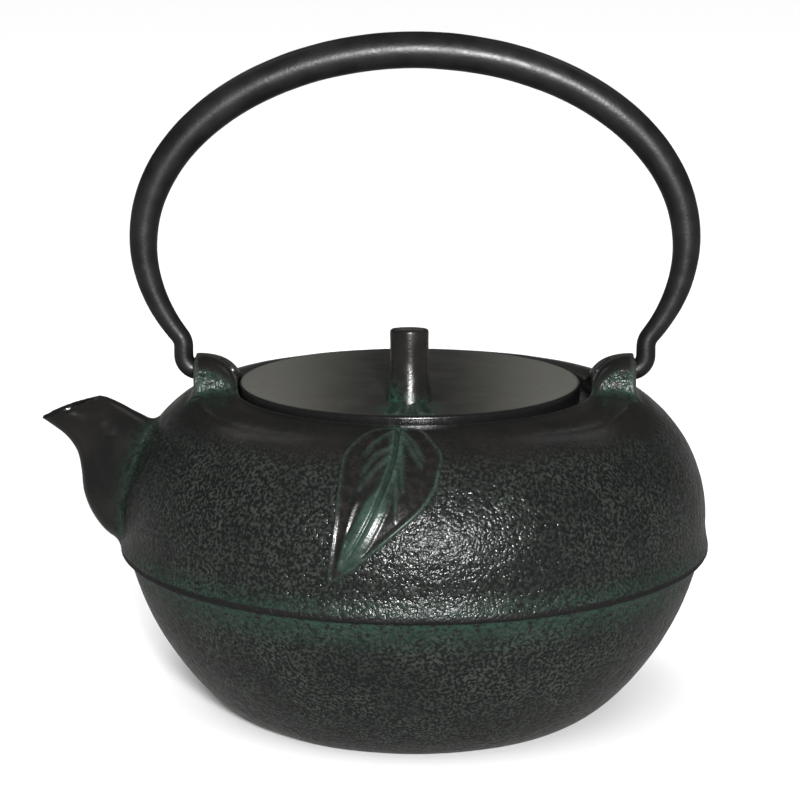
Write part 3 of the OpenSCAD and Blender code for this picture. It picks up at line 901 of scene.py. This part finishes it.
def make_petiole(material):
    """The stalk's low relief on the lid, from the knob's foot to the edge over the leaf."""
    start, stop = KNOB_Y + 2.0, LID_R - 1.0
    xs, ys = np.arange(-10.2, 10.3, 0.3), np.arange(-stop, -start, 0.3)
    x, y = np.meshgrid(xs, ys, indexing="ij")
    t = np.clip((-y - start) / (stop - start), 0, 1)
    half = 5.0 + 2.6 * t ** 1.5
    inside = step_between(half + 0.9, half - 1.2, np.abs(x))
    ribs = ridge(np.abs(x) - half * 0.45, 0.7) + ridge(np.abs(x) - half * 0.92, 0.6)
    end = step_between(-stop, -stop + 1.6, y)
    sunk = 0.4
    groove = ridge(x, 0.6)
    lift = (-sunk + 0.75 * inside + 0.4 * ribs * inside - 0.35 * groove * inside) * end - sunk * (1 - end)
    crown = LID_TOP - CROWN * (np.hypot(x, y) / LID_R) ** 2
    kept = ((np.abs(x) < half + 1.3) & (np.hypot(x, y) < LID_R - 0.8))[:-1, :-1]
    root = -1.3
    top, bottom = (np.stack([x + LID_X, y, crown + off], -1) for off in (lift, root))
    points, faces, used = slab(top, bottom, kept)
    piece = make_piece("petiole", points, faces, material, "lid", ("lid_stalk",))
    raised = np.clip(0.6 * ribs, 0, 1).ravel()
    patina = np.clip(inside * 0.55, 0, 1).ravel()
    add_values(piece, "raised", np.tile(raised, 2)[used])
    add_values(piece, "patina", np.tile(patina, 2)[used])
    return piece


# Bail: an ellipse on upright hook ends
ARCH_A, ARCH_B, ARCH_Z = 78.1, 55.3, 137.0
ARCH_END = -29.2
TUBE_D, HOOK_D, TAPER = 10.6, 5.6, 2.5
LEG_X = hook_high[0] - HOOK_D / 2
JOIN_Z = tube_low[2]


def make_bail(material):
    """The tapered tube of the bail, closed at its ends by the hooks."""
    end_turn = math.radians(ARCH_END)
    end = np.array([ARCH_A * math.cos(end_turn), ARCH_Z + ARCH_B * math.sin(end_turn)])
    run = np.array([-ARCH_A * math.sin(end_turn), ARCH_B * math.cos(end_turn)])
    run /= np.linalg.norm(run)
    reach = (end[0] - LEG_X) / run[0]
    kink = end - run * reach
    start = kink - (0, reach)
    leg = [np.array([LEG_X, JOIN_Z]), (start + (LEG_X, JOIN_Z)) / 2]
    for t in np.linspace(0, 1, 8)[:-1]:
        leg.append((1 - t) ** 2 * start + 2 * (1 - t) * t * kink + t * t * end)
    turns = np.radians(np.linspace(ARCH_END, 180 - ARCH_END, 170))
    arch = np.column_stack([ARCH_A * np.cos(turns), ARCH_Z + ARCH_B * np.sin(turns)])
    line = np.vstack([leg, arch, [(-p[0], p[1]) for p in leg[::-1]]])
    share = np.abs(np.degrees(turns) - 90) / (90 - ARCH_END)
    thick = HOOK_D + (TUBE_D - HOOK_D) * (1 - share ** TAPER)
    thick = np.concatenate([np.full(len(leg), HOOK_D), thick, np.full(len(leg), HOOK_D)])
    ahead = np.gradient(line, axis=0)
    ahead[0], ahead[-1] = (0, 1), (0, -1)
    ahead /= np.linalg.norm(ahead, axis=1)[:, None]
    turn = np.linspace(0, 2 * math.pi, 40, endpoint=False)
    rings = []
    for p, d, t in zip(line, ahead, thick):
        out = np.array([d[1], -d[0]])
        rings.append(np.column_stack([p[0] + t / 2 * np.cos(turn) * out[0], t / 2 * np.sin(turn),
                                      p[1] + t / 2 * np.cos(turn) * out[1]]))
    points, faces = loft(rings)
    middle = np.repeat(line, len(turn), axis=0)
    off = points - np.column_stack([middle[:, 0], np.zeros(len(points)), middle[:, 1]])
    off /= np.linalg.norm(off, axis=1)[:, None]
    uneven = 0.07 * ripple(points, 9.0, 7) - 0.07
    points = points + off * (uneven * step_between(JOIN_Z, JOIN_Z + 12, points[:, 2]))[:, None]
    return make_piece("bail_tube", points, faces, material, "bail", ("handle_tube",), 60)


def punched_sheet(columns, rows, hole, place, thick, closed):
    """A sheet of square cells, each with a round hole; place(u, v, depth) puts it in the room.

    u runs from 0 to columns and v from 0 to rows, and depth is 0 on one face and thick on the other.
    """
    turn = np.radians(np.arange(8) * 45.0)
    rim_u, rim_v = np.cos(turn) * hole, np.sin(turn) * hole
    square = [(1, 0), (1, 1), (0, 1), (-1, 1), (-1, 0), (-1, -1), (0, -1), (1, -1)]
    points, faces, number = [], [], {}

    def point(u, v, depth):
        key = (round((u % columns if closed else u) * 1000), round(v * 1000), depth)
        if key not in number:
            number[key] = len(points)
            points.append(place(u, v, depth))
        return number[key]

    for c in range(columns):
        for q in range(rows):
            mid = (c + 0.5, q + 0.5)
            rings = []
            for depth, flip in ((0.0, False), (thick, True)):
                ring = [point(mid[0] + rim_u[k], mid[1] + rim_v[k], depth) for k in range(8)]
                edge = [point(mid[0] + 0.5 * a, mid[1] + 0.5 * b, depth) for a, b in square]
                for k in range(8):
                    face = [ring[k], edge[k], edge[(k + 1) % 8], ring[(k + 1) % 8]]
                    faces.append(face[::-1] if flip else face)
                rings.append(ring)
            near, far = rings
            for k in range(8):
                on = (k + 1) % 8
                faces.append([near[on], far[on], far[k], near[k]])
            for a, b in (((-0.5, -0.5), (0.5, -0.5)), ((0.5, 0.5), (-0.5, 0.5))):
                if (q == 0 and a[1] < 0) or (q == rows - 1 and a[1] > 0):
                    centre = (0.0, a[1])
                    line = [point(mid[0] + s[0], mid[1] + s[1], d) for d in (0.0, thick)
                            for s in (a, centre, b)]
                    faces.append([line[1], line[0], line[3], line[4]])
                    faces.append([line[2], line[1], line[4], line[5]])
    return points, faces


def joined(points, faces, more, skin):
    """Two skins in one list of points and faces."""
    return np.vstack([points, more]), faces + (np.array(skin) + len(points)).tolist()


def make_basket(material):
    """The basket's wall and base as punched steel."""
    radius, sheet = wall_high[0], 0.6
    low, high = wall_low[2], wall_high[2]
    plain = 3.0
    columns, rows = 84, 16
    wall_hole, base_hole = 0.3, 0.27

    def on_wall(u, v, depth):
        a = 2 * math.pi * u / columns
        r = radius - depth
        return (r * math.cos(a), r * math.sin(a), low + plain + (high - low - 2 * plain) * v / rows)

    points, faces = punched_sheet(columns, rows, wall_hole, on_wall, sheet, True)
    for bottom, top in ((low, low + plain), (high - plain, high)):
        band = [(radius - sheet, bottom), (radius - sheet, top), (radius, top), (radius, bottom)]
        points, faces = joined(points, faces, *lathe(band, columns))
    make_piece("basket_sieve_wall", points, faces, material, "basket", ("basket_wall",), 40)
    base_columns, rings = 60, 14
    inner, outer = 6.0, radius - sheet
    hem = 1.0

    def on_base(u, v, depth):
        a = 2 * math.pi * u / base_columns
        r = inner + (outer - hem - inner) * v / rings
        return (r * math.cos(a), r * math.sin(a), low + sheet - depth)

    points, faces = punched_sheet(base_columns, rings, base_hole, on_base, sheet, True)
    for a, b in ((outer - hem, outer), (AXIS_R, inner)):
        band = [(a, low), (b, low), (b, low + sheet), (a, low + sheet)]
        points, faces = joined(points, faces, *lathe(band, base_columns))
    make_piece("basket_sieve_base", points, faces, material, "basket", ("basket_base",), 40)


# ---------------------------------------------------------------- stage

def make_stage():
    """A pale floor, soft lights and the camera."""
    scene = bpy.context.scene
    scene.view_settings.view_transform = "Standard"
    scene.view_settings.look = "None"
    floor_mesh = bpy.data.meshes.new("floor")
    half = 14.0
    floor_mesh.from_pydata([(-half, -half, 0), (half, -half, 0), (half, half, 0), (-half, half, 0)], [],
                           [(0, 1, 2, 3)])
    paint = bpy.data.materials.new("pale_floor")
    paint.use_nodes = True
    shader = paint.node_tree.nodes["Principled BSDF"]
    shader.inputs["Base Color"].default_value = (0.9, 0.9, 0.9, 1)
    shader.inputs["Roughness"].default_value = 0.9
    shader.inputs["Specular IOR Level"].default_value = 0.1
    floor_mesh.materials.append(paint)
    floor = bpy.data.objects.new("floor", floor_mesh)
    floor.visible_glossy = False
    scene.collection.objects.link(floor)

    world = bpy.data.worlds.new("studio")
    world.use_nodes = True
    tree = world.node_tree
    sky = tree.nodes["Background"]
    where = tree.nodes.new("ShaderNodeTexCoord")
    split = tree.nodes.new("ShaderNodeSeparateXYZ")
    fade = tree.nodes.new("ShaderNodeMapRange")
    fade.interpolation_type = "SMOOTHSTEP"
    tree.links.new(where.outputs["Generated"], split.inputs[0])
    tree.links.new(split.outputs["Z"], fade.inputs["Value"])
    for name, value in (("From Min", -0.15), ("From Max", 0.25), ("To Min", 0.28), ("To Max", 0.035)):
        fade.inputs[name].default_value = value
    tree.links.new(fade.outputs["Result"], sky.inputs["Strength"])
    sky.inputs["Color"].default_value = (1, 0.99, 0.97, 1)
    scene.world = world

    target = Vector((0, 0, 0.07))

    def aim(light, azimuth, elevation, distance):
        """Puts a light round the pot and turns it there; azimuth 0 is the camera's side."""
        a, e = math.radians(azimuth), math.radians(elevation)
        light.location = target + distance * Vector((math.sin(a) * math.cos(e),
                                                     -math.cos(a) * math.cos(e), math.sin(e)))
        light.rotation_euler = (target - light.location).to_track_quat("-Z", "Y").to_euler()
        scene.collection.objects.link(light)

    def lamp(name, azimuth, elevation, distance, size, power):
        """A soft square light."""
        data = bpy.data.lights.new(name, "AREA")
        data.size, data.energy = size, power
        aim(bpy.data.objects.new(name, data), azimuth, elevation, distance)

    lamp("key", azimuth=6, elevation=17, distance=1.5, size=0.18, power=46.0)
    for name, side in (("back_left", -140), ("back_right", 140)):
        lamp(name, azimuth=side, elevation=48, distance=1.6, size=0.6, power=0.8)

    # light for the floor alone, and for the pot's colour: it leaves no reflection
    data = bpy.data.lights.new("floor_light", "SUN")
    data.energy, data.angle = 3.5, math.radians(80)
    fill = bpy.data.objects.new("floor_light", data)
    fill.visible_glossy = False
    aim(fill, -25, 72, 2.0)

    data = bpy.data.cameras.new("camera")
    # a long lens from about 0.84 m, 12 degrees down, as in the photo
    data.sensor_width = 36.0
    data.lens = 129.6
    data.clip_end = 60.0
    camera = bpy.data.objects.new("camera", data)
    down, aside = 11.93, 0.298
    camera.location = (0, -0.820, 0.264)
    camera.rotation_euler = (math.radians(90 - down), 0, math.radians(aside))
    scene.collection.objects.link(camera)
    scene.camera = camera


# ---------------------------------------------------------------- assembly

iron = casting_look()
leaf_iron = leaf_look()
lid_iron = lid_look()
black_iron = smooth_iron_look("stem_iron", BLACK, BROWN_BLACK, 0.2, 0.32, patina_at="patina")
handle_black = smooth_iron_look("handle_black", COATED_BLACK, COATED_GREY, 0.34, 0.44)
enamel = enamel_look()
steel_round = steel_look("brushed_steel", (0.15, 0.15, 6.0))

make_casting(iron)
make_leaf(leaf_iron)
make_lid(lid_iron)
make_knob(black_iron)
make_petiole(leaf_iron)
make_bail(handle_black)
make_basket(steel_round)
for node, look in (("enamel_lining", enamel), ("basket_rim", steel_round),
                   ("hook_left", handle_black), ("hook_right", handle_black)):
    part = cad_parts[node]
    for holder in part.material_slots:
        holder.material = look

make_stage()
